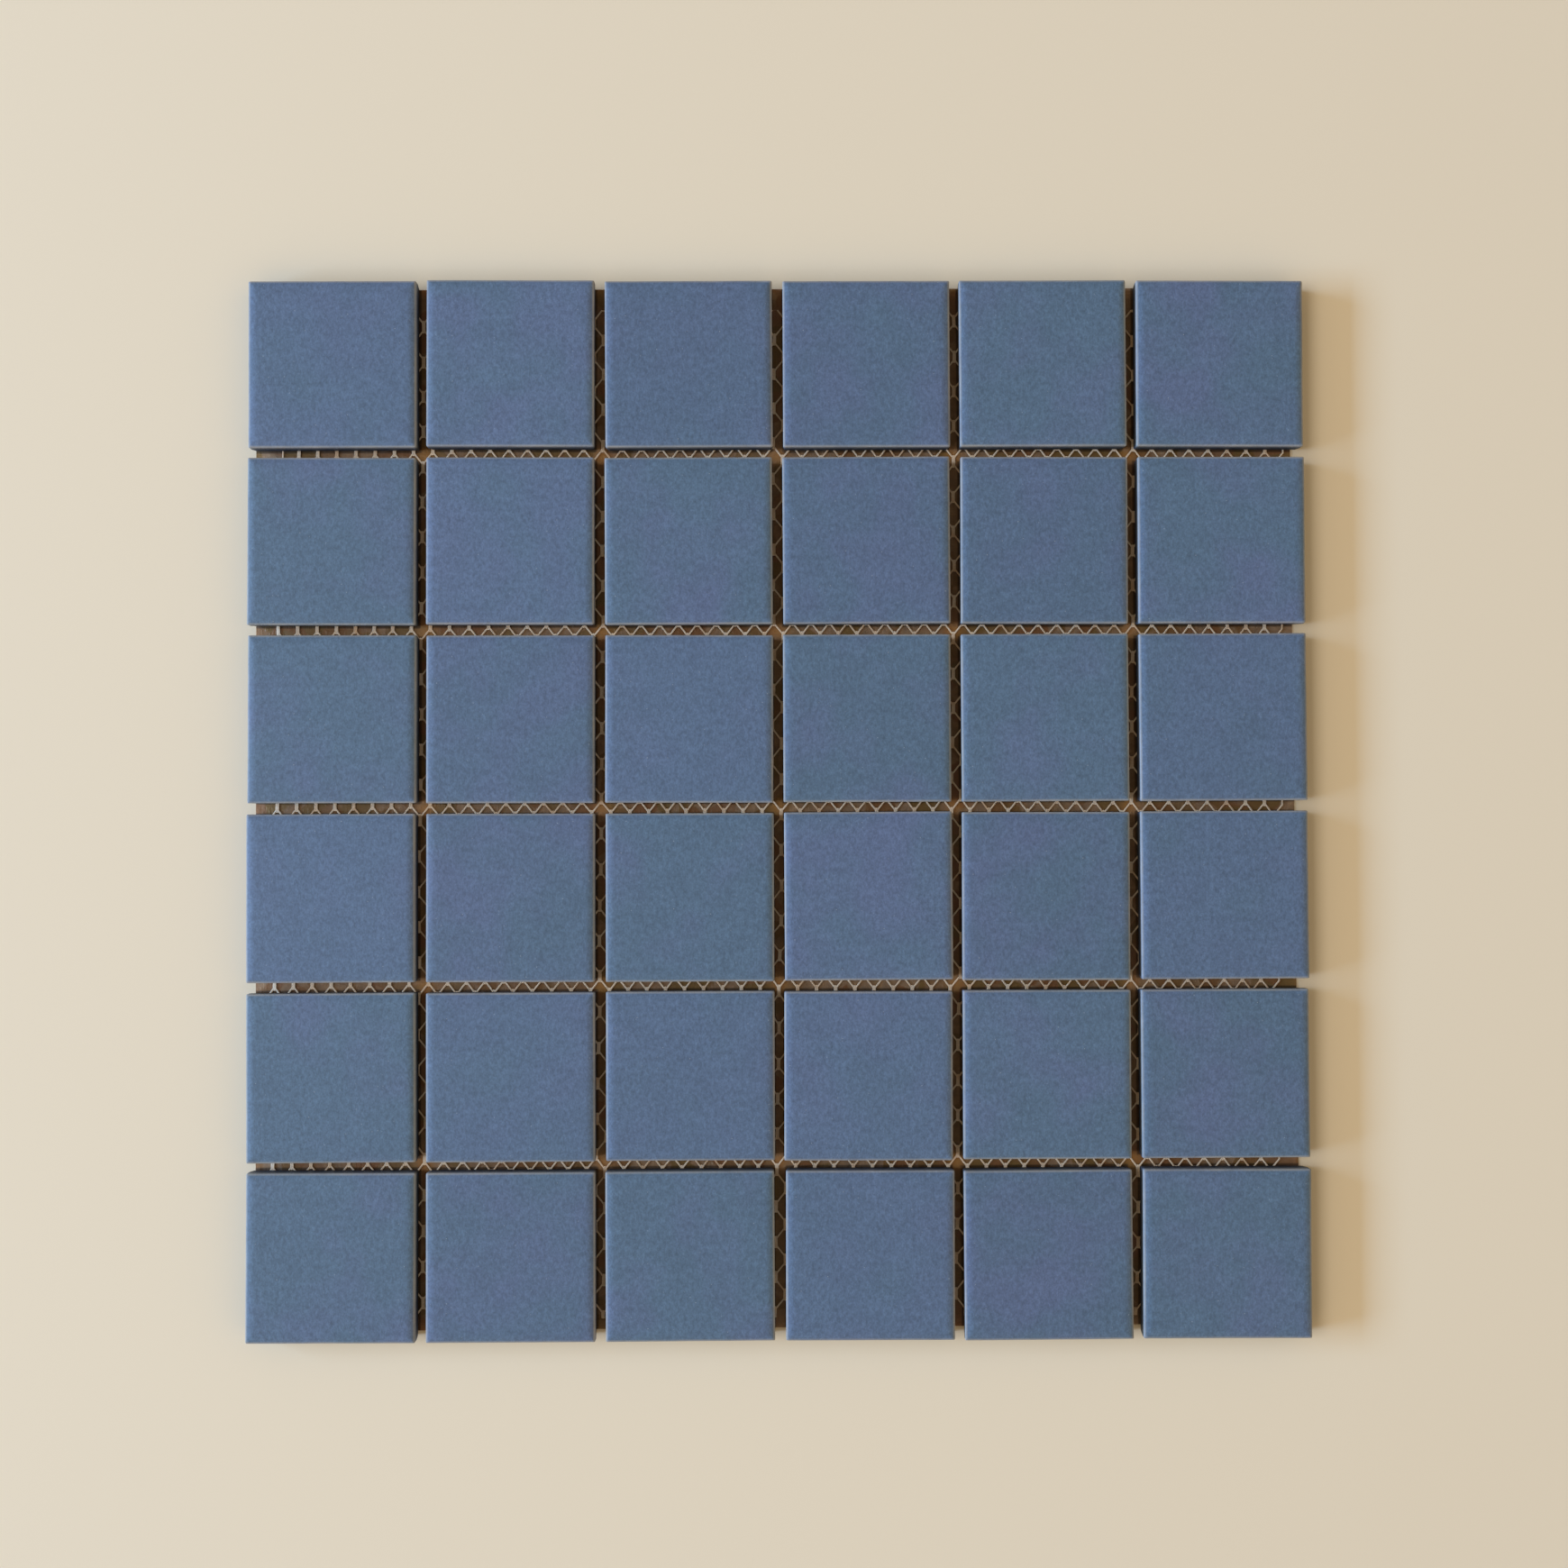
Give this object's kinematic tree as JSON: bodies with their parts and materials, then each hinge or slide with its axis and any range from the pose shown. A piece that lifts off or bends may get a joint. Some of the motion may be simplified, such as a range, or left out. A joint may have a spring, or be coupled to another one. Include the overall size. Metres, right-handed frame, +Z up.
{
  "type": "mosaic tile sheet",
  "caption": "Square sheet of small cushion-edged porcelain mosaic tiles, held at an even joint by a net and a kraft paper backing.",
  "frame": {"origin": "middle of the sheet's underside, where the sheet lies on the floor or beds into adhesive", "axes": "+Z up through the tiles' faces, +X along a row of tiles from column 1 to column 6, +Y towards row 1"},
  "size_m": [0.3034, 0.3034, 0.0066],
  "materials": {
    "porcelain": "matte, unglazed, coloured through",
    "net": "fine off-white net",
    "kraft_paper": "brown kraft, glossy where the glue is"
  },
  "bodies": {
    "root": {"tile_row1_column1": "porcelain", "tile_row1_column2": "porcelain", "tile_row1_column3": "porcelain", "tile_row1_column4": "porcelain", "tile_row1_column5": "porcelain", "tile_row1_column6": "porcelain", "tile_row2_column1": "porcelain", "tile_row2_column2": "porcelain", "tile_row2_column3": "porcelain", "tile_row2_column4": "porcelain", "tile_row2_column5": "porcelain", "tile_row2_column6": "porcelain", "tile_row3_column1": "porcelain", "tile_row3_column2": "porcelain", "tile_row3_column3": "porcelain", "tile_row3_column4": "porcelain", "tile_row3_column5": "porcelain", "tile_row3_column6": "porcelain", "tile_row4_column1": "porcelain", "tile_row4_column2": "porcelain", "tile_row4_column3": "porcelain", "tile_row4_column4": "porcelain", "tile_row4_column5": "porcelain", "tile_row4_column6": "porcelain", "tile_row5_column1": "porcelain", "tile_row5_column2": "porcelain", "tile_row5_column3": "porcelain", "tile_row5_column4": "porcelain", "tile_row5_column5": "porcelain", "tile_row5_column6": "porcelain", "tile_row6_column1": "porcelain", "tile_row6_column2": "porcelain", "tile_row6_column3": "porcelain", "tile_row6_column4": "porcelain", "tile_row6_column5": "porcelain", "tile_row6_column6": "porcelain", "backing_net": "net", "backing_paper": "kraft_paper"}
  },
  "joints": []
}
